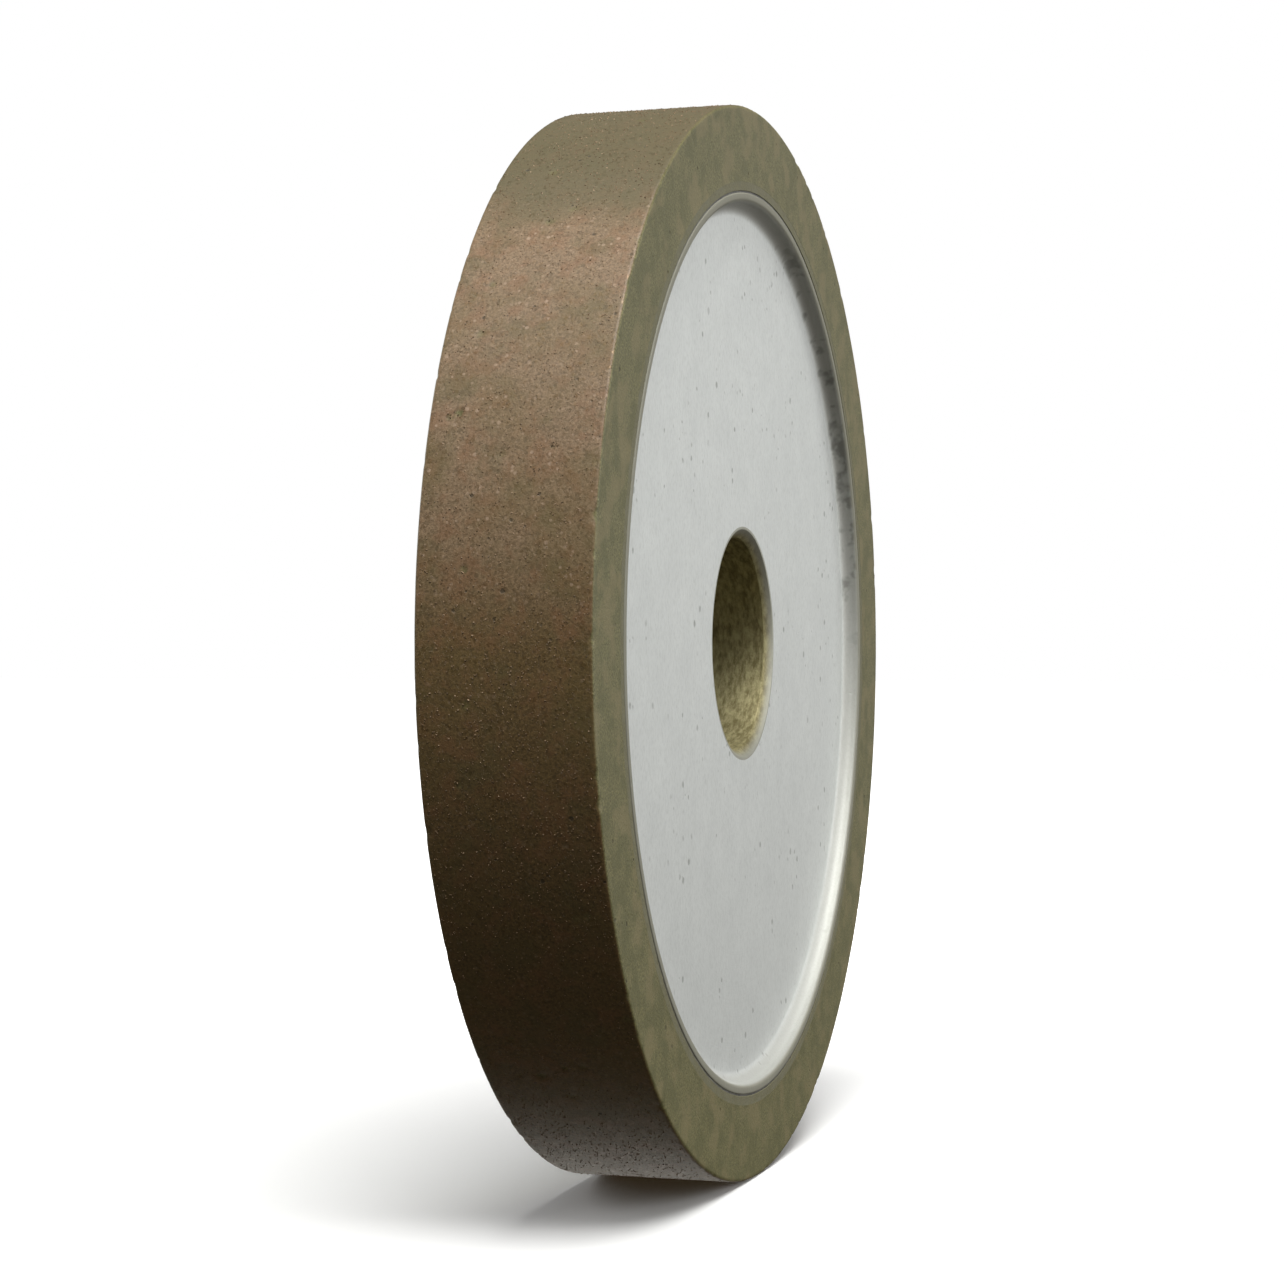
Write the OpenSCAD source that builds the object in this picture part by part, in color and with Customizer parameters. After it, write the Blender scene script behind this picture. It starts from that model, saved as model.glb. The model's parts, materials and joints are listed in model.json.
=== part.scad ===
// Flat resin-bond diamond grinding wheel on a recessed aluminium core.
// The origin is the wheel's centre. The wheel spins about Y, its front face looks along -Y, and +Z is up.

/* [Wheel] */
// Outer diameter over the diamond face
wheel_d = 100; // [90:1:200]
// Width between the two side faces of the rim
wheel_w = 15; // [12:0.5:40]
// Corner break on the two outer edges of the rim
edge_break = 0.25; // [0.05:0.05:1]

/* [Rim layers] */
// Radial depth of the diamond layer
diamond_depth = 7; // [3:0.5:10]
// Radial depth of the diamond-free backing behind it
backing_depth = 0.85; // [0.4:0.05:2]
// Thickness of the adhesive film between the backing and the core
film_t = 0.15; // [0.05:0.05:0.5]
// How far the film stops short of each side face
film_setback = 0.1; // [0.05:0.05:0.5]

/* [Core] */
// Depth of the recess turned into each face of the core
recess_depth = 1.6; // [0.5:0.05:3]
// Radius of the fillet at the foot of the recess wall
recess_fillet = 1.2; // [0.2:0.1:2.5]
// Width of the land left between each recess and the rim
land_w = 0.9; // [0.7:0.1:2]
// Corner break on the outer edge of each land, beside the film
land_break = 0.1; // [0.05:0.05:0.15]
// Corner break on the inner edge of each land, at the mouth of the recess
mouth_break = 0.4; // [0.1:0.05:0.45]

/* [Bore] */
// Diameter of the bore that fits the spindle
bore_d = 20; // [10:0.1:32]
// Wall thickness of the bush that lines the bore
bush_wall = 1; // [0.6:0.1:2]
// Width of the flat ring that the chamfer leaves on each end of the bush
bush_lip = 0.25; // [0.1:0.05:0.5]

/* [Hidden] */
ROUND = 180;
OVERCUT = 1;
half_w = wheel_w / 2;
wheel_r = wheel_d / 2;
// The layers lie one inside the next, so each seats on the radius of the one before it.
backing_r = wheel_r - diamond_depth;
film_r = backing_r - backing_depth;
core_r = film_r - film_t;
bore_r = bore_d / 2;
seat_r = bore_r + bush_wall;
bore_chamfer = bush_wall - bush_lip;
// Distance from the middle plane to each recess floor, which the bush ends flush with
floor_y = half_w - recess_depth;
recess_r = core_r - land_w;
// The fillet is limited by the straight wall below the break at the recess's mouth.
foot_fillet = min(recess_fillet, recess_depth - mouth_break);
foot_r = recess_r - foot_fillet;

// Turns a profile about the spin axis. The profile's X is the radius and its Y lies along the axis.
module turned() {
    rotate([90, 0, 0])
        rotate_extrude($fn = ROUND)
            children();
}

// Closes the outline that starts as these points with their mirror image beyond the middle plane
module two_faced(points) {
    polygon(concat(points, [for (i = [len(points) - 1 : -1 : 0]) [points[i].x, -points[i].y]]));
}

// A ring's profile as wide as the wheel, with its outer edges broken
module ring_profile(inner_r, outer_r, outer_break) {
    two_faced([
        [inner_r, half_w],
        [outer_r - outer_break, half_w],
        [outer_r, half_w - outer_break]
    ]);
}

// What the lathe takes out of one face: a flat floor, the fillet at its foot, a straight wall
// and the break at the mouth
module recess_profile() {
    translate([0, floor_y])
        square([foot_r, recess_depth + OVERCUT]);
    translate([foot_r, floor_y + foot_fillet])
        circle(r = foot_fillet, $fn = ROUND);
    translate([0, floor_y + foot_fillet])
        square([recess_r, recess_depth - foot_fillet + OVERCUT]);
    polygon([
        [recess_r - mouth_break, half_w + OVERCUT],
        [recess_r - mouth_break, half_w - mouth_break],
        [recess_r, half_w - mouth_break],
        [recess_r + mouth_break, half_w],
        [recess_r + mouth_break, half_w + OVERCUT]
    ]);
}

// Resin-bond diamond layer: the working ring
module abrasive_rim() {
    color([0.46, 0.42, 0.32])
        turned()
            ring_profile(backing_r, wheel_r, edge_break);
}

// Diamond-free resin layer that is pressed with the rim and carries it
module backing_ring() {
    color([0.42, 0.41, 0.36])
        turned()
            translate([film_r, -half_w])
                square([backing_depth, wheel_w]);
}

// Adhesive film that holds the pressed ring on the core
module bond_film() {
    color([0.22, 0.22, 0.24])
        turned()
            translate([core_r, film_setback - half_w])
                square([film_t, wheel_w - 2 * film_setback]);
}

// Aluminium disc with a recess in each face, a land at its edge and a seat for the bush
module core() {
    color([0.78, 0.80, 0.78])
        turned()
            difference() {
                ring_profile(seat_r, core_r, land_break);
                recess_profile();
                mirror([0, 1])
                    recess_profile();
            }
}

// Bronze bush pressed into the core, bored to fit the spindle and chamfered at both mouths
module bore_bush() {
    color([0.48, 0.42, 0.27])
        turned()
            two_faced([
                [bore_r, floor_y - bore_chamfer],
                [seat_r - bush_lip, floor_y],
                [seat_r, floor_y]
            ]);
}

abrasive_rim();
backing_ring();
bond_film();
core();
bore_bush();
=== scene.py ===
"""Diamond grinding wheel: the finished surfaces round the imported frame.

The wheel spins about Y and stands on its rim. Lengths are in metres. Only the finishes, and what has a
name that ends in _MM or _mm, are in millimetres.
"""
import json
import math
import random
from functools import cached_property

import bpy
import numpy as np
from mathutils import Matrix, Vector, noise


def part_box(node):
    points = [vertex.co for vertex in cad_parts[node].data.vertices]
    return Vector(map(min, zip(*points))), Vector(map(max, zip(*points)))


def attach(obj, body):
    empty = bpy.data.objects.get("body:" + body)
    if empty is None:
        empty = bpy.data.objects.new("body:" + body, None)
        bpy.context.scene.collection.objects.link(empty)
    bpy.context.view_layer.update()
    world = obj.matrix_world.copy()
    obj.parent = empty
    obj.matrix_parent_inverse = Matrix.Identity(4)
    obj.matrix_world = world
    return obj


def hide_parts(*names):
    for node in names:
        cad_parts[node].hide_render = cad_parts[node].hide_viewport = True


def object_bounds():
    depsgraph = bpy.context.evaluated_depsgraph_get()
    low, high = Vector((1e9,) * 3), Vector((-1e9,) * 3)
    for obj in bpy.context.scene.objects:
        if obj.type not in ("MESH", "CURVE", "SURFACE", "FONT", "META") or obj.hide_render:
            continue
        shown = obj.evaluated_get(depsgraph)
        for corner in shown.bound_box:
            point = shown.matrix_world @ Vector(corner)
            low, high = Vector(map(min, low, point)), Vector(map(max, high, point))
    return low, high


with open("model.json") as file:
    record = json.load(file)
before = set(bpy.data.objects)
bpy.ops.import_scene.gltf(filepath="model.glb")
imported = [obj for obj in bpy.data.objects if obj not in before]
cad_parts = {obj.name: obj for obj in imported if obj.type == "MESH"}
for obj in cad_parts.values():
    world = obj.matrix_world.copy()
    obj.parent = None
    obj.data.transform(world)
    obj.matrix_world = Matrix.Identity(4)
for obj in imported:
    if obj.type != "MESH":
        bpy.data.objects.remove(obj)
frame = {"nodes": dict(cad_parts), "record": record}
cad_low, cad_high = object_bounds()

MM = 0.001

# ---- Sizes taken from the frame ---------------------------------------------------------------

rim_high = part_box("abrasive_rim")[1]
WHEEL_R, HALF_W = rim_high[2], rim_high[1]
BACKING_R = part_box("backing_ring")[1][2]
FILM_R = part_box("bond_film")[1][2]
CORE_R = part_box("core")[1][2]
SEAT_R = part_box("bore_bush")[1][2]
FLOOR_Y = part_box("bore_bush")[1][1]
BORE_R = next(m for m in frame["record"]["mounts"] if m["name"] == "bore")["dims"]["r_mm"] * MM

# ---- Sizes of the finish ----------------------------------------------------------------------

LAND_W = 0.9 * MM
RECESS_FILLET = 1.2 * MM
MOUTH_R = 0.4 * MM
CHAMFER = 0.75 * MM
GRAIN_STANDS_OUT = 0.05 * MM
BUSH_SITS_BACK = 0.01 * MM
RIM_EDGE = 0.3 * MM
LAND_EDGE = 0.15 * MM
LIP_EDGE = 0.06 * MM
BOND_R = WHEEL_R - GRAIN_STANDS_OUT
BOND_Y = HALF_W - GRAIN_STANDS_OUT / 2
RECESS_R = CORE_R - LAND_W

# How near a point has to be to a surface to count as a part of it
CLOSE = 0.1 * MM

# How many times each piece is divided round the wheel
RIM_SPOKES, BACKING_SPOKES, CORE_SPOKES, BUSH_SPOKES = 1040, 720, 720, 300
SHARP_FROM = math.radians(40)

# ---- Wear and grains --------------------------------------------------------------------------

# How far a surface lies back on average, and the waves in it: (length, height)
FACE_WEAR, FACE_WAVES = 0.022 * MM, [(0.9 * MM, 0.010 * MM), (7 * MM, 0.012 * MM)]
SIDE_WEAR, SIDE_WAVES = 0.012 * MM, [(1.3 * MM, 0.006 * MM), (8 * MM, 0.006 * MM)]
CORE_WEAR, CORE_WAVES = 0.010 * MM, [(9 * MM, 0.006 * MM), (2.5 * MM, 0.004 * MM)]
# The backing shrinks by this share of its half width on average
BACKING_SHRINKS, BACKING_WAVE_LENGTH = 0.0012, 1.1 * MM

# Pores in the working face and chips on its edges: how many, their least and greatest reach and depth
WEAR_SEED = 11
PORES, PORE_REACH, PORE_DEPTH = 90, (0.3 * MM, 0.7 * MM), (0.03 * MM, 0.09 * MM)
PORE_BAND = 0.97 * HALF_W
CHIPS, CHIP_REACH, CHIP_DEPTH = 70, (0.3 * MM, 0.8 * MM), (0.02 * MM, 0.09 * MM)

# Grains: how many, how far their corners are from their middles, and how much those are stretched
GRAIN_SEED = 5
GRAINS, GRAIN_REACH, GRAIN_STRETCH = 15000, (0.05 * MM, 0.11 * MM), (0.7, 1.15)
GRAIN_BAND = 0.96 * HALF_W
# The least and greatest share of the standing height that a grain takes up
GRAIN_SHOWS = (0.2, 0.95)
SIDE_GRAIN_EVERY = 7
SIDE_GRAIN_FROM, SIDE_GRAIN_TO = BACKING_R + 1 * MM, BOND_R - 1 * MM

# ---- Camera -----------------------------------------------------------------------------------

CAMERA_AZIMUTH, CAMERA_ELEVATION = -72.66, -0.33
CAMERA_DISTANCE = 5.38 * WHEEL_R
AIM_ASIDE = 0.0769 * WHEEL_R
LENS_MM, SENSOR_MM = 79.24, 36.0
CLIP_NEAR, CLIP_FAR = 0.01, 50


def towards(azimuth, elevation):
    """The direction at these degrees. Azimuth 0 is in front of the wheel, along -Y, and 90 along +X."""
    a, e = math.radians(azimuth), math.radians(elevation)
    return Vector((math.sin(a) * math.cos(e), -math.cos(a) * math.cos(e), math.sin(e)))


def make_camera():
    """A nearly level camera at about the height of the spin axis, aimed a little aside of the wheel."""
    back = towards(CAMERA_AZIMUTH, CAMERA_ELEVATION)
    right = (-back).cross(Vector((0, 0, 1))).normalized()
    data = bpy.data.cameras.new("camera")
    data.lens, data.sensor_width = LENS_MM, SENSOR_MM
    data.clip_start, data.clip_end = CLIP_NEAR, CLIP_FAR
    camera = bpy.data.objects.new("camera", data)
    axes = Matrix((right, back.cross(right), back)).transposed().to_4x4()
    camera.matrix_world = Matrix.Translation(back * CAMERA_DISTANCE - right * AIM_ASIDE) @ axes
    bpy.context.scene.collection.objects.link(camera)
    bpy.context.scene.camera = camera


# ---- Shader writing ---------------------------------------------------------------------------


class Value:
    """A socket, with the arithmetic that the finishes are written in."""

    def __init__(self, graph, socket):
        self.graph, self.socket = graph, socket

    def maths(self, operation, *others):
        inputs = dict(enumerate((self, *others)))
        return self.graph.node("ShaderNodeMath", {"operation": operation}, inputs)

    def __add__(self, other):
        return self.maths("ADD", other)

    def __sub__(self, other):
        return self.maths("SUBTRACT", other)

    def __rsub__(self, other):
        return self.maths("MULTIPLY", -1.0).maths("ADD", other)

    def __mul__(self, other):
        return self.maths("MULTIPLY", other)

    def __pow__(self, other):
        return self.maths("POWER", other)

    def __gt__(self, other):
        return self.maths("GREATER_THAN", other)

    def __lt__(self, other):
        return self.maths("LESS_THAN", other)

    __radd__, __rmul__ = __add__, __mul__


class Graph:
    """A tree of nodes, and the few ways of joining them that a finish and the sky share."""

    def __init__(self, tree):
        self.tree = tree

    def node(self, kind, settings=None, inputs=None, output=0):
        """Adds a node, sets it up, joins what feeds it and gives back one of its outputs, or none."""
        node = self.tree.nodes.new(kind)
        for name, setting in (settings or {}).items():
            if name == "stops":
                self.set_stops(node.color_ramp.elements, setting)
            else:
                setattr(node, name, setting)
        for name, feed in (inputs or {}).items():
            if isinstance(feed, Value):
                self.tree.links.new(feed.socket, node.inputs[name])
            else:
                node.inputs[name].default_value = feed
        return None if output is None else Value(self, node.outputs[output])

    def set_stops(self, elements, stops):
        """Gives a colour ramp its stops: (position, colour), lowest first."""
        while len(elements) < len(stops):
            elements.new(1.0)
        for element, (position, colour) in zip(elements, stops):
            element.position = position
            element.color = (*colour, 1.0)

    def ease(self, value, low, high):
        """0 at low, 1 at high and an S curve between. Low may be the larger."""
        inputs = {"Value": value, "From Min": low, "From Max": high}
        return self.node("ShaderNodeMapRange", {"interpolation_type": "SMOOTHSTEP"}, inputs)

    def blend(self, share, first, second):
        """The first colour where share is 0 and the second where it is 1."""
        colours = [c if isinstance(c, Value) else (*c, 1.0) for c in (first, second)]
        inputs = {0: share, 6: colours[0], 7: colours[1]}
        return self.node("ShaderNodeMix", {"data_type": "RGBA"}, inputs, 2)

    def layers(self, colour, *layers):
        """The colour with layers laid over it in turn: (share, colour)."""
        for share, over in layers:
            colour = self.blend(share, colour, over)
        return colour


class Finish(Graph):
    """One material, written from the inside out: places, patterns, colours, then the shader."""

    def __init__(self, name, same_all_over=None):
        self.material = bpy.data.materials.new(name)
        self.material.use_nodes = True
        super().__init__(self.material.node_tree)
        self.shader = next(n for n in self.tree.nodes if n.type == "BSDF_PRINCIPLED")
        for socket, number in (same_all_over or {}).items():
            self.shader.inputs[socket].default_value = number

    def feed(self, socket, value):
        self.tree.links.new(value.socket, self.shader.inputs[socket])

    @cached_property
    def place(self):
        """Where a point is, in millimetres."""
        place = self.node("ShaderNodeTexCoord", output="Object")
        return self.node("ShaderNodeVectorMath", {"operation": "SCALE"}, {0: place, 3: 1 / MM})

    @cached_property
    def along_axes(self):
        outputs = self.node("ShaderNodeSeparateXYZ", inputs={0: self.place}).socket.node.outputs
        return [Value(self, outputs[i]) for i in range(3)]

    @cached_property
    def radius(self):
        """Distance from the spin axis, in millimetres."""
        x, _, z = self.along_axes
        return (x * x + z * z) ** 0.5

    def squeezed(self, *factors):
        """The place times a factor along each axis. Patterns run longest where the factor is least."""
        return self.node("ShaderNodeVectorMath", {"operation": "MULTIPLY"}, {0: self.place, 1: factors})

    def cloud(self, size_mm, detail=2.0, rough=0.5, seed=0.0, place=None):
        """Soft noise round 0.5 with features of that size."""
        inputs = {"Vector": place or self.place, "W": seed}
        inputs |= {"Scale": 1 / size_mm, "Detail": detail, "Roughness": rough}
        return self.node("ShaderNodeTexNoise", {"noise_dimensions": "4D"}, inputs)

    def cells(self, size_mm, seed=0.0):
        """Irregular cells of that size: how far from a cell's middle, and a random number for each."""
        settings = {"voronoi_dimensions": "4D"}
        inputs = {"Vector": self.place, "W": seed, "Scale": 1 / size_mm}
        away = self.node("ShaderNodeTexVoronoi", settings, inputs)
        colour = Value(self, away.socket.node.outputs["Color"])
        return away, self.node("ShaderNodeSeparateColor", inputs={0: colour})

    def specks(self, size_mm, share, reach, seed=0.0):
        """Ragged specks in that share of the cells: 1 inside and 0 outside.

        Their sizes vary, and the largest reach that part of a cell from its middle.
        """
        away, chance = self.cells(size_mm, seed)
        tatter = self.cloud(size_mm * 0.35, detail=2.0, rough=0.6, seed=seed)
        edge = chance * (reach / share)
        return self.ease(away + tatter * 0.3 - 0.15, edge, edge * 0.5) * (chance < share)

    def relief(self, height, depth_mm):
        """Bump of that depth from a height of 0 to 1."""
        inputs = {"Height": height, "Distance": depth_mm * MM, "Strength": 1.0}
        self.feed("Normal", self.node("ShaderNodeBump", None, inputs))


# ---- Colours, in linear light -----------------------------------------------------------------

SIDE_DARK, SIDE_PALE = (0.080, 0.071, 0.021), (0.196, 0.181, 0.071)
SIDE_MOSS, SIDE_SAND = (0.092, 0.088, 0.026), (0.20, 0.165, 0.073)
GROUND_DARK, GROUND_PALE = (0.07, 0.043, 0.013), (0.215, 0.138, 0.053)
# Painted light: the colours of a band on the upper left of the working face, paler and redder where the
# light falls.
LIT_BAND_DARK, LIT_BAND_PALE = (0.16, 0.103, 0.055), (0.35, 0.243, 0.155)
RUSSET, OLIVE, KHAKI = (0.215, 0.105, 0.047), (0.108, 0.09, 0.033), (0.14, 0.102, 0.032)
# The second colour here greys the top of the working face: painted sheen.
UMBER, TOP_SHEEN_GREY = (0.07, 0.045, 0.016), (0.105, 0.092, 0.046)
# The pale copper dots are copper flecks all round, and painted glints where they crowd into the lit band.
COPPER_DOT_AND_GLINT, PORE = (0.50, 0.36, 0.26), (0.035, 0.028, 0.015)
GRAIN_DARK, GRAIN_PALE = (0.14, 0.09, 0.045), (0.31, 0.21, 0.13)
RESIN_DARK, RESIN_PALE, RESIN_GREY = (0.105, 0.096, 0.045), (0.185, 0.174, 0.095), (0.16, 0.155, 0.105)
GLUE_DARK, GLUE_PALE = (0.05, 0.048, 0.045), (0.14, 0.135, 0.12)
SILVER_DULL, SILVER, SILVER_GRAIN = (0.66, 0.68, 0.67), (0.77, 0.79, 0.775), (0.52, 0.535, 0.52)
# The second colour here is painted shade, in blotches on the upper right of the recess wall.
PIT, WALL_BLOTCH_SHADE = (0.24, 0.245, 0.23), (0.14, 0.14, 0.12)
# The first colour here paints the recess wall darker and warmer than the face: painted shade and a
# painted warm reflection of the rim.
# The second colour here paints the land dark and dull: painted shade at the joint with the rim.
WALL_SHADE_AND_REFLECTION, LAND_SHADE = (0.50, 0.497, 0.46), (0.235, 0.228, 0.175)
BRONZE_DARK, BRONZE_PALE = (0.165, 0.137, 0.058), (0.42, 0.38, 0.205)
BRONZE_GRAIN, BRONZE_CUT = (0.18, 0.15, 0.06), (0.42, 0.42, 0.37)
FLOOR_GREY, FLOOR_WHITE = (0.88, 0.88, 0.88), (0.93, 0.93, 0.93)
BLACK, WHITE = (0.0, 0.0, 0.0), (1.0, 1.0, 1.0)

# ---- Finishes ---------------------------------------------------------------------------------


def bond_finish():
    """Resin bond: olive at the sides, browner on the ground working face, with grains, pores, a painted
    lit band with painted glints, and painted sheen on top.
    """
    f = Finish("diamond_bond")
    x, _, z = f.along_axes
    grit = f.cloud(0.22, detail=3.0, rough=0.7)
    _, tone = f.cells(0.26, seed=3.0)
    mottle = f.cloud(1.7, detail=3.0, rough=0.6, seed=4.0)
    stain = f.cloud(3.4, detail=3.0, rough=0.6, seed=14.0)
    patch = f.cloud(9.0, detail=3.0, rough=0.55, seed=9.0)
    pores = f.specks(0.6, share=0.08, reach=0.45, seed=2.0)
    face = f.ease(f.radius, BOND_R / MM - 0.15, BOND_R / MM - 0.03)
    # Painted light: a band on the upper left of the working face, where the light falls.
    painted_lit_band = f.ease(z * 0.45 - x * 0.89, 43.5, 48.5)
    # Painted sheen: the top of the working face, with a ragged edge, made greyer and darker.
    painted_top_sheen = f.ease(z + patch * 10.0, 37.5, 44.0)
    # Copper flecks all round, crowded into the lit band as painted glints.
    dots_and_glint_band = 0.25 + painted_lit_band * f.ease(mottle, 0.35, 0.6) * 0.75
    copper_dots_and_glints = f.specks(0.42, share=0.55, reach=0.6, seed=6.0) * dots_and_glint_band
    side = f.layers(
        f.blend(f.ease(grit, 0.34, 0.66), SIDE_DARK, SIDE_PALE),
        (f.ease(mottle, 0.45, 0.6) * 0.65, SIDE_MOSS),
        (f.ease(stain, 0.48, 0.62) * 0.6, SIDE_SAND),
    )
    ground = f.layers(
        f.blend(f.ease(grit, 0.2, 0.8), GROUND_DARK, GROUND_PALE),
        # The lit band, painted paler and redder.
        (painted_lit_band * 0.68, f.blend(f.ease(grit, 0.25, 0.75), LIT_BAND_DARK, LIT_BAND_PALE)),
        (f.ease(mottle, 0.45, 0.65) * 0.45, RUSSET),
        (f.ease(stain, 0.48, 0.66) * 0.45, OLIVE),
        (f.ease(patch, 0.45, 0.6) * 0.3, KHAKI),
        (f.ease(tone, 0.25, 0.0) * 0.4, UMBER),
        # Copper flecks, with painted glints in the lit band.
        (copper_dots_and_glints * 0.5, COPPER_DOT_AND_GLINT),
        # Painted sheen on the top of the working face.
        (painted_top_sheen * 0.75, TOP_SHEEN_GREY),
    )
    clad = (tone > 0.93) * face
    f.feed("Base Color", f.blend(pores * 0.7, f.blend(face, side, ground), PORE))
    f.feed("Metallic", clad * 0.3)
    f.feed("Roughness", 0.52 - clad * 0.1 + pores * 0.2)
    f.relief(grit * 0.5 + tone * 0.25 + mottle * 0.25 - pores * 0.6, depth_mm=0.06)
    return f.material


def grain_finish():
    """Copper-clad diamond grains, with tones that differ from grain to grain."""
    f = Finish("clad_diamond", {"Roughness": 0.55})
    tone = f.cloud(0.45, detail=0.0, rough=0.5, seed=3.0)
    f.feed("Base Color", f.blend(f.ease(tone, 0.35, 0.65), GRAIN_DARK, GRAIN_PALE))
    f.feed("Metallic", f.ease(tone, 0.3, 0.6) * 0.4)
    return f.material


def backing_finish():
    """Diamond-free resin: greyer and finer than the bond."""
    f = Finish("backing_resin")
    grit = f.cloud(0.16, detail=3.0, rough=0.6, seed=1.0)
    mottle = f.cloud(0.9, seed=5.0)
    resin = f.blend(f.ease(grit, 0.25, 0.75), RESIN_DARK, RESIN_PALE)
    f.feed("Base Color", f.blend(f.ease(mottle, 0.4, 0.7) * 0.5, resin, RESIN_GREY))
    f.feed("Roughness", 0.55 + grit * 0.2)
    f.relief(grit * 0.6 + mottle * 0.4, depth_mm=0.04)
    return f.material


def film_finish():
    """Set adhesive: dark, with a slight gloss."""
    f = Finish("set_adhesive")
    cloud = f.cloud(0.7, seed=7.0)
    f.feed("Base Color", f.blend(f.ease(cloud, 0.3, 0.7), GLUE_DARK, GLUE_PALE))
    f.feed("Roughness", 0.35 + cloud * 0.25)
    f.relief(cloud, depth_mm=0.04)
    return f.material


def core_finish():
    """Matte turned aluminium: fine grain, faint tool rings, small pits, painted shade on the recess wall
    and land, and blotches of painted shade on the wall's upper right.
    """
    f = Finish("matte_aluminium")
    x, _, z = f.along_axes
    grain = f.cloud(0.2, rough=0.6, seed=2.0, place=f.squeezed(1.0, 1.0, 0.45))
    blotch = f.cloud(3.2, detail=3.0, rough=0.55, seed=8.0)
    ring_settings = {"noise_dimensions": "1D"}
    rings = f.node("ShaderNodeTexNoise", ring_settings, {"W": f.radius, "Scale": 5.0, "Detail": 2.0})
    where_pitted = f.ease(f.cloud(8.0, seed=21.0), 0.47, 0.58)
    pits = f.specks(0.9, share=0.6, reach=0.5, seed=1.0) * (0.06 + where_pitted * 0.94)
    # Painted shade: the land is made dark, dull and less metallic where it meets the rim.
    land = f.ease(f.radius, (RECESS_R - MOUTH_R * 0.2) / MM, (RECESS_R + MOUTH_R * 0.6) / MM)
    wall_foot = (RECESS_R - RECESS_FILLET) / MM
    wall = f.ease(f.radius, wall_foot, wall_foot + 0.8)
    # Painted shade: dark blotches on the upper-right stretch of the recess wall, which faces away from
    # the light.
    shaded_stretch = f.ease(x * 0.8 + z * 0.6, 30.0, 38.0)
    shade_blotches = f.ease(f.cloud(3.0, detail=3.0, rough=0.6, seed=12.0), 0.5, 0.62)
    painted_wall_shade = wall * shaded_stretch * shade_blotches
    colour = f.layers(
        f.blend(blotch, SILVER_DULL, SILVER),
        (f.ease(grain, 0.4, 0.75) * 0.4, SILVER_GRAIN),
        (pits * 0.65, PIT),
        # The recess wall painted darker and warmer: painted shade and a painted warm reflection of the
        # rim.
        (wall * 0.7, WALL_SHADE_AND_REFLECTION),
        (painted_wall_shade * 0.6, WALL_BLOTCH_SHADE),
        (land * 0.9, LAND_SHADE),
    )
    f.feed("Base Color", colour)
    f.feed("Metallic", 0.92 - pits * 0.4 - painted_wall_shade * 0.3 - land * 0.55)
    f.feed("Roughness", 0.5 + grain * 0.1 + wall * 0.15 + painted_wall_shade * 0.1)
    f.relief(grain * 0.6 + rings * (1.0 - wall) * 0.15 - pits * 0.8, depth_mm=0.03)
    return f.material


def bush_finish():
    """Sintered bronze: mottled olive brown in the bore and freshly cut at the chamfers."""
    f = Finish("sintered_bronze")
    mottle = f.cloud(0.9, detail=3.0, rough=0.65, seed=3.0, place=f.squeezed(1.0, 2.2, 0.8))
    grain = f.cloud(0.25, rough=0.6, seed=5.0)
    cut = f.ease(f.radius, BORE_R / MM + 0.04, (BORE_R + CHAMFER) / MM)
    colour = f.layers(
        f.blend(f.ease(mottle, 0.3, 0.7), BRONZE_DARK, BRONZE_PALE),
        (f.ease(grain, 0.45, 0.8) * 0.5, BRONZE_GRAIN),
        (cut * 0.9, BRONZE_CUT),
    )
    f.feed("Base Color", colour)
    f.feed("Metallic", 0.55 + cut * 0.35)
    f.feed("Roughness", 0.62 - mottle * 0.1)
    f.relief(grain * 0.5 + mottle * 0.5, depth_mm=0.05)
    return f.material


# ---- Turned meshes ----------------------------------------------------------------------------


def soften(corners, steps=4, hold=1.5):
    """Rounds the corners of a closed outline.

    A corner is (radius, across, edge). Its rounding starts that edge away from it, and one more point
    at hold times the edge keeps the flat beyond it flat.
    """
    outline = []
    for i, (r, y, edge) in enumerate(corners):
        corner = Vector((r, y))
        if not edge:
            outline.append(corner)
            continue
        before = (Vector(corners[i - 1][:2]) - corner).normalized() * edge
        after = (Vector(corners[(i + 1) % len(corners)][:2]) - corner).normalized() * edge
        outline.append(corner + before * hold)
        for k in range(steps + 1):
            t = k / steps
            outline.append(corner + before * (1 - t) ** 2 + after * t * t)
        outline.append(corner + after * hold)
    return outline


def divide(outline, step):
    """Adds points so that no stretch of a closed outline is longer than step allows there."""
    fine = []
    for here, there in zip(outline, outline[1:] + outline[:1]):
        parts = max(1, math.ceil((there - here).length / step(here, there)))
        fine += [here.lerp(there, k / parts) for k in range(parts)]
    return fine


def quarter(centre, radius, first_degrees, steps):
    """The corners along a quarter circle, turning to larger angles."""
    turns = [math.radians(first_degrees + 90 * k / steps) for k in range(steps + 1)]
    return [(centre[0] + radius * math.cos(a), centre[1] + radius * math.sin(a), 0) for a in turns]


def both_faces(face):
    """A closed outline from the corners of the +Y face, inside to outside, and their mirror image."""
    return [(r, -y, edge) for r, y, edge in face] + face[::-1]


def runs_across(here, there, long=1 * MM):
    """Whether a stretch of outline is one of the long walls from face to face."""
    return abs(here[1] - there[1]) > long


def make_piece(name, points, faces, finish):
    mesh = bpy.data.meshes.new(name)
    mesh.from_pydata(points, [], faces)
    mesh.materials.append(finish)
    mesh.update()
    piece = bpy.data.objects.new(name, mesh)
    bpy.context.scene.collection.objects.link(piece)
    return piece


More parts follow.
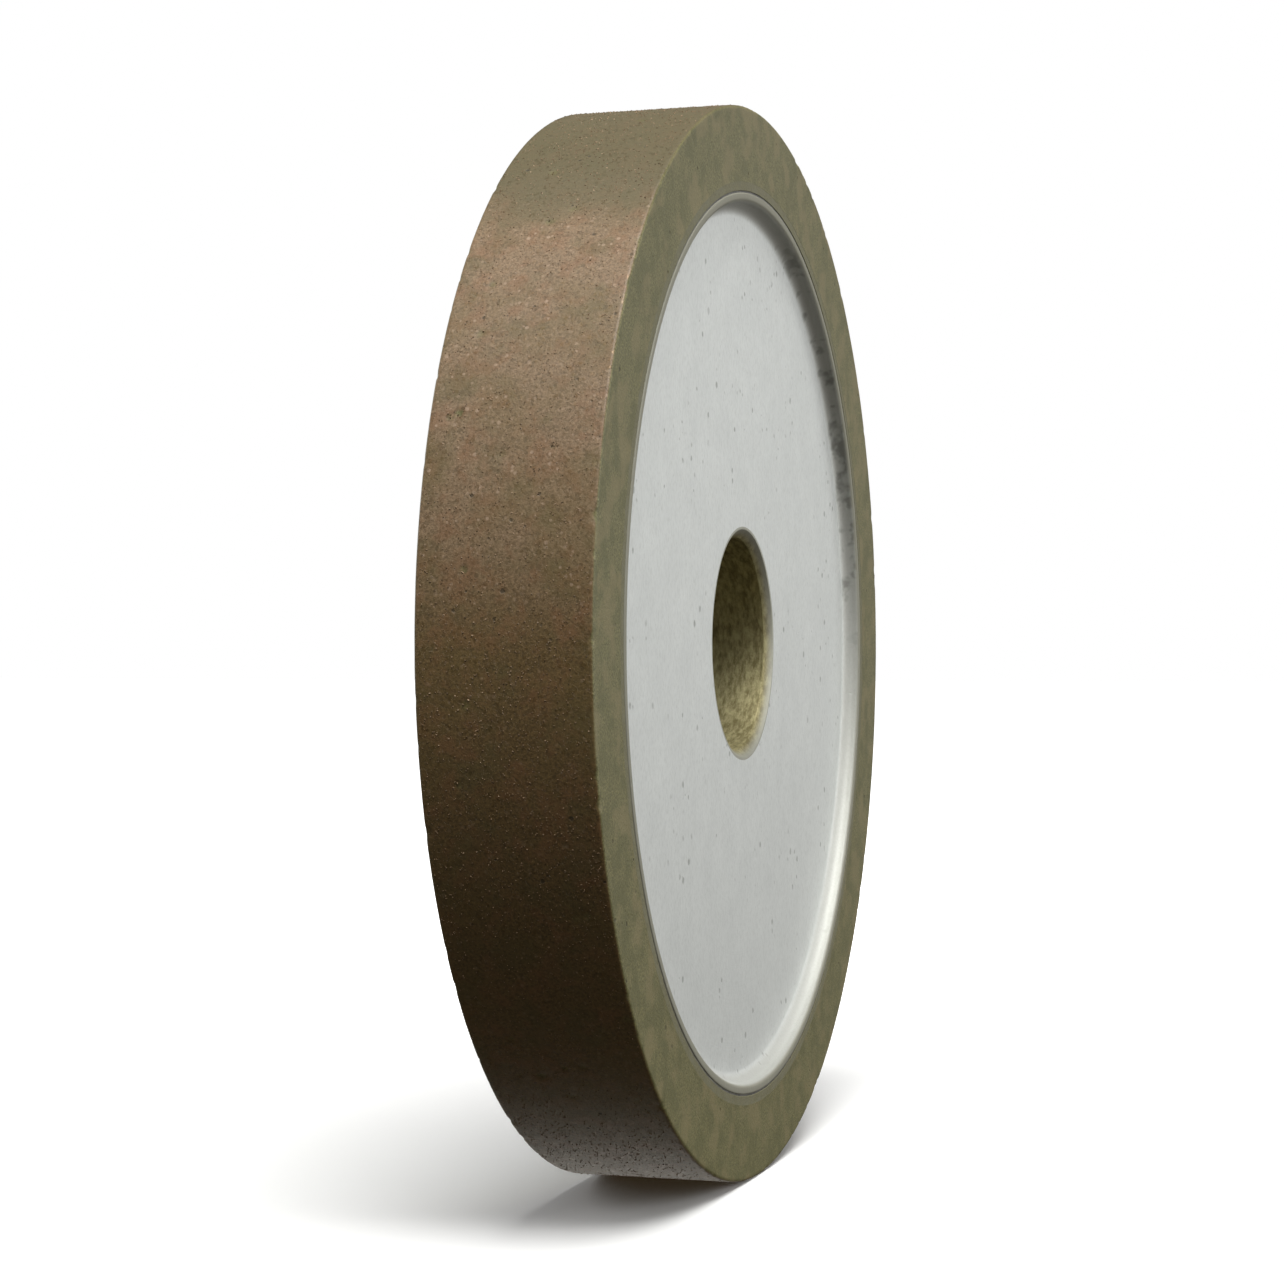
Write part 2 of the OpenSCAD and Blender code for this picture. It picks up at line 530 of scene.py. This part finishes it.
def turn(name, outline, around, finish, relief=None):
    """Turns a closed outline about the spin axis. relief moves the points, an array of (x, y, z) rows."""
    angles = np.arange(around) * (math.tau / around)
    profile = np.array([tuple(p) for p in outline])
    rows = len(profile)
    points = np.empty((around, rows, 3))
    points[..., 0] = np.cos(angles)[:, None] * profile[:, 0]
    points[..., 1] = profile[:, 1]
    points[..., 2] = np.sin(angles)[:, None] * profile[:, 0]
    points = points.reshape(-1, 3)
    if relief:
        relief(points)
    spoke, row = np.meshgrid(np.arange(around), np.arange(rows), indexing="ij")
    next_spoke, next_row = (spoke + 1) % around, (row + 1) % rows
    corners = [(spoke, row), (spoke, next_row), (next_spoke, next_row), (next_spoke, row)]
    faces = np.stack([s * rows + r for s, r in corners], axis=-1).reshape(-1, 4)
    piece = make_piece(name, points.tolist(), faces.tolist(), finish)
    piece.data.polygons.foreach_set("use_smooth", [True] * len(faces))
    piece.data.set_sharp_from_angle(angle=SHARP_FROM)
    return piece


def wave(place, waves):
    """The height at a place of waves given as (length, height)."""
    return sum(noise.noise(place / length) * height for length, height in waves)


def sink(point, depth):
    """Moves a point of a side face towards the wheel's mid plane."""
    point[1] -= math.copysign(depth, point[1])


def outward_at(angle):
    """The direction away from the spin axis at that angle."""
    return np.array((math.cos(angle), 0, math.sin(angle)))


def bite(points, centre, reach, depth, inward, tatter=0.5, tatter_size=0.4 * MM, steepness=1.6):
    """Dents the points near centre, in a ragged hollow of that reach and depth."""
    near = np.linalg.norm(points - centre, axis=1) / reach
    for i in np.flatnonzero(near < 1):
        hollow = 1 - near[i] * (1 + tatter * noise.noise(Vector(points[i]) / tatter_size))
        points[i] += inward * depth * min(1.0, max(0.0, steepness * hollow))


def rim_relief(points):
    """Wear on the working ring: slight waviness, pores in the face and small chips on both edges."""
    rng = random.Random(WEAR_SEED)
    for p in points:
        outward = Vector((p[0], 0, p[2]))
        r = outward.length
        if r < BACKING_R + CLOSE:
            continue
        place = Vector(p)
        p -= np.array(outward / r) * (FACE_WEAR + wave(place, FACE_WAVES))
        if abs(p[1]) > BOND_Y - CLOSE:
            sink(p, SIDE_WEAR + wave(place, SIDE_WAVES))
    for _ in range(PORES):
        angle, across = rng.uniform(0, math.tau), rng.uniform(-PORE_BAND, PORE_BAND)
        out = outward_at(angle)
        centre = out * BOND_R + (0, across, 0)
        bite(points, centre, rng.uniform(*PORE_REACH), rng.uniform(*PORE_DEPTH), -out)
    for _ in range(CHIPS):
        angle, face = rng.uniform(0, math.tau), rng.choice((-1, 1))
        out = outward_at(angle)
        centre = out * BOND_R + (0, face * BOND_Y, 0)
        inward = -(out + (0, face, 0)) / math.sqrt(2)
        bite(points, centre, rng.uniform(*CHIP_REACH), rng.uniform(*CHIP_DEPTH), inward)


def make_rim(finish):
    seat_step, face_step, side_step = 5 * MM, 0.32 * MM, 0.45 * MM
    face_depth = 1 * MM
    side = [(BACKING_R, BOND_Y, 0), (BOND_R, BOND_Y, RIM_EDGE)]

    def step(here, there):
        if max(here[0], there[0]) < BACKING_R + CLOSE:
            return seat_step
        return face_step if min(here[0], there[0]) > BOND_R - face_depth else side_step

    return turn("bond_ring", divide(soften(both_faces(side)), step), RIM_SPOKES, finish, rim_relief)


# The corners of an octahedron are its three axes' low and high ends, in turn
OCTAHEDRON = [(0, 2, 5), (2, 1, 5), (1, 3, 5), (3, 0, 5), (2, 0, 4), (1, 2, 4), (3, 1, 4), (0, 3, 4)]


def crystal(rng, reach):
    """The six points of an octahedral crystal, stretched and turned at random."""
    axis = Vector((rng.gauss(0, 1), rng.gauss(0, 1), rng.gauss(0, 1)))
    spin = Matrix.Rotation(rng.uniform(0, math.tau), 3, axis)
    ends = [(k, sign) for k in range(3) for sign in (-1, 1)]
    return [spin.col[k] * sign * reach * rng.uniform(*GRAIN_STRETCH) for k, sign in ends]


def make_grains(finish):
    """Grains that stand out of the bond on the working face, and some just breaking out at the sides."""
    rng = random.Random(GRAIN_SEED)
    points, faces = [], []
    for i in range(GRAINS):
        angle = rng.uniform(0, math.tau)
        grain = crystal(rng, rng.uniform(*GRAIN_REACH))
        out = Vector(outward_at(angle))
        if i % SIDE_GRAIN_EVERY:
            centre = Vector((0, rng.uniform(-GRAIN_BAND, GRAIN_BAND), 0))
            outward, level = out, BOND_R
        else:
            side = rng.choice((-1, 1))
            centre = out * math.sqrt(rng.uniform(SIDE_GRAIN_FROM ** 2, SIDE_GRAIN_TO ** 2))
            outward, level = Vector((0, side, 0)), BOND_Y - GRAIN_STANDS_OUT
        tallest = max(p.dot(outward) for p in grain)
        stands = rng.uniform(*GRAIN_SHOWS) * GRAIN_STANDS_OUT
        centre += outward * (level + stands - tallest)
        faces += [tuple(len(points) + k for k in face) for face in OCTAHEDRON]
        points += [tuple(centre + p) for p in grain]
    return make_piece("standing_grains", points, faces, finish)


def make_backing(finish):
    wall_step, side_step = 5 * MM, 0.12 * MM
    side = [(FILM_R, BOND_Y, LIP_EDGE), (BACKING_R, BOND_Y, 0)]

    def step(here, there):
        return wall_step if runs_across(here, there) else side_step

    def relief(points):
        for p in points:
            p[1] *= 1 - BACKING_SHRINKS * (1 + noise.noise(Vector(p) / BACKING_WAVE_LENGTH))

    return turn("resin_backing", divide(soften(both_faces(side)), step), BACKING_SPOKES, finish, relief)


def make_core(finish):
    """The aluminium disc. Each face runs from the bush's seat over the floor and fillet to the land."""
    wall_step, face_step = 4 * MM, 0.9 * MM
    foot = quarter((RECESS_R - RECESS_FILLET, FLOOR_Y + RECESS_FILLET), RECESS_FILLET, -90, steps=14)
    mouth = quarter((RECESS_R + MOUTH_R, HALF_W - MOUTH_R), MOUTH_R, 90, steps=8)
    face = [(SEAT_R, FLOOR_Y, 0), *foot, *reversed(mouth[:-1]), (CORE_R, HALF_W, LAND_EDGE)]

    def step(here, there):
        return wall_step if runs_across(here, there) else face_step

    def relief(points):
        for p in points:
            if abs(p[1]) > FLOOR_Y / 2:
                sink(p, CORE_WEAR + wave(Vector(p), CORE_WAVES))

    return turn("aluminium_core", divide(soften(both_faces(face)), step), CORE_SPOKES, finish, relief)


def make_bush(finish):
    seat_step, bore_step, chamfer_step = 4 * MM, 0.5 * MM, 0.2 * MM
    end = FLOOR_Y - BUSH_SITS_BACK
    face = [(BORE_R, end - CHAMFER, LIP_EDGE), (BORE_R + CHAMFER, end, LIP_EDGE), (SEAT_R, end, 0)]

    def step(here, there):
        if max(here[0], there[0]) < BORE_R + CLOSE:
            return bore_step
        return chamfer_step if here[0] < SEAT_R - CLOSE else seat_step

    return turn("bronze_bush", divide(soften(both_faces(face)), step), BUSH_SPOKES, finish)


# ---- Studio -----------------------------------------------------------------------------------

# Light from all round: (elevation in degrees, colour)
SKY = [
    (-90, (0.075, 0.067, 0.052)),
    (-40, (0.08, 0.071, 0.056)),
    (-12, (0.12, 0.112, 0.092)),
    (0, (0.14, 0.135, 0.12)),
    (15, (0.17, 0.168, 0.155)),
    (40, (0.21, 0.21, 0.205)),
    (90, (0.30, 0.30, 0.30)),
]

# Soft boxes: (azimuth, elevation, distance, width, height, watts, colour)
LAMPS = {
    "high_left": (-60, 65, 0.9, 0.5, 0.5, 11.0, (1.0, 1.0, 0.98)),
    "front": (12, 15, 1.1, 0.9, 0.7, 5.7, WHITE),
    "right": (52, 10, 1.1, 0.9, 0.7, 1.2, WHITE),
    "back": (170, 20, 1.1, 0.9, 0.7, 4.5, WHITE),
    "floor_bounce": (115, -38, 0.9, 0.6, 0.4, 0.95, (1.0, 0.97, 0.9)),
}

FLOOR_REACH = 6.0
GLOW_STARTS_MM, GLOW_FULL_MM = 75.0, 210.0


def make_floor():
    """A wide pale floor under the rim, lit by itself further out, so that it has no horizon."""
    f = Finish("pale_floor", {"Roughness": 0.9, "Emission Strength": 1.0})
    away = f.node("ShaderNodeVectorMath", {"operation": "LENGTH"}, {0: f.place}, "Value")
    far = f.ease(away, GLOW_STARTS_MM, GLOW_FULL_MM)
    f.feed("Base Color", f.blend(f.cloud(90.0, detail=3.0), FLOOR_GREY, FLOOR_WHITE))
    f.feed("Emission Color", f.blend(far, BLACK, WHITE))
    ends = (-FLOOR_REACH, FLOOR_REACH)
    corners = [(x, y, cad_low[2]) for x in ends for y in ends]
    floor = make_piece("floor", corners, [(0, 2, 3, 1)], f.material)
    floor.visible_diffuse = floor.visible_glossy = floor.visible_shadow = False


def make_surroundings():
    """White behind the wheel. The light from all round is soft and fades to a warm dark below."""
    world = bpy.data.worlds.new("studio")
    bpy.context.scene.world = world
    world.use_nodes = True
    world.node_tree.nodes.clear()
    w = Graph(world.node_tree)
    place = w.node("ShaderNodeTexCoord", output="Generated")
    up = w.node("ShaderNodeSeparateXYZ", inputs={0: place}, output=2)
    height = w.node("ShaderNodeMapRange", inputs={"Value": up, "From Min": -1.0})
    stops = [((1 + math.sin(math.radians(elevation))) / 2, colour) for elevation, colour in SKY]
    sky = w.node("ShaderNodeValToRGB", {"stops": stops}, {0: height})
    seen = w.node("ShaderNodeLightPath", output="Is Camera Ray")
    light = w.node("ShaderNodeBackground", inputs={"Color": w.blend(seen, sky, WHITE)})
    w.node("ShaderNodeOutputWorld", inputs={0: light}, output=None)


def make_lamps():
    for name, (azimuth, elevation, distance, width, height, watts, colour) in LAMPS.items():
        data = bpy.data.lights.new(name, "AREA")
        data.shape, data.size, data.size_y = "RECTANGLE", width, height
        data.energy, data.color = watts, colour
        lamp = bpy.data.objects.new(name, data)
        lamp.location = towards(azimuth, elevation) * distance
        lamp.rotation_euler = lamp.location.to_track_quat("Z", "Y").to_euler()
        bpy.context.scene.collection.objects.link(lamp)


# ---- Assembly ---------------------------------------------------------------------------------

make_camera()
make_floor()
make_surroundings()
make_lamps()
bpy.context.scene.view_settings.view_transform = "Standard"

PIECES = [
    (make_rim(bond_finish()), "abrasive_rim", "diamond_layer"),
    (make_backing(backing_finish()), "backing_ring", "backing"),
    (make_core(core_finish()), "core", "core_metal"),
    (make_bush(bush_finish()), "bore_bush", "bush_metal"),
]
for piece, node, slot in PIECES:
    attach(piece, "root")
    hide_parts(node)

grains = make_grains(grain_finish())
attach(grains, "root")

film = frame["nodes"]["bond_film"].data.materials
film.clear()
film.append(film_finish())
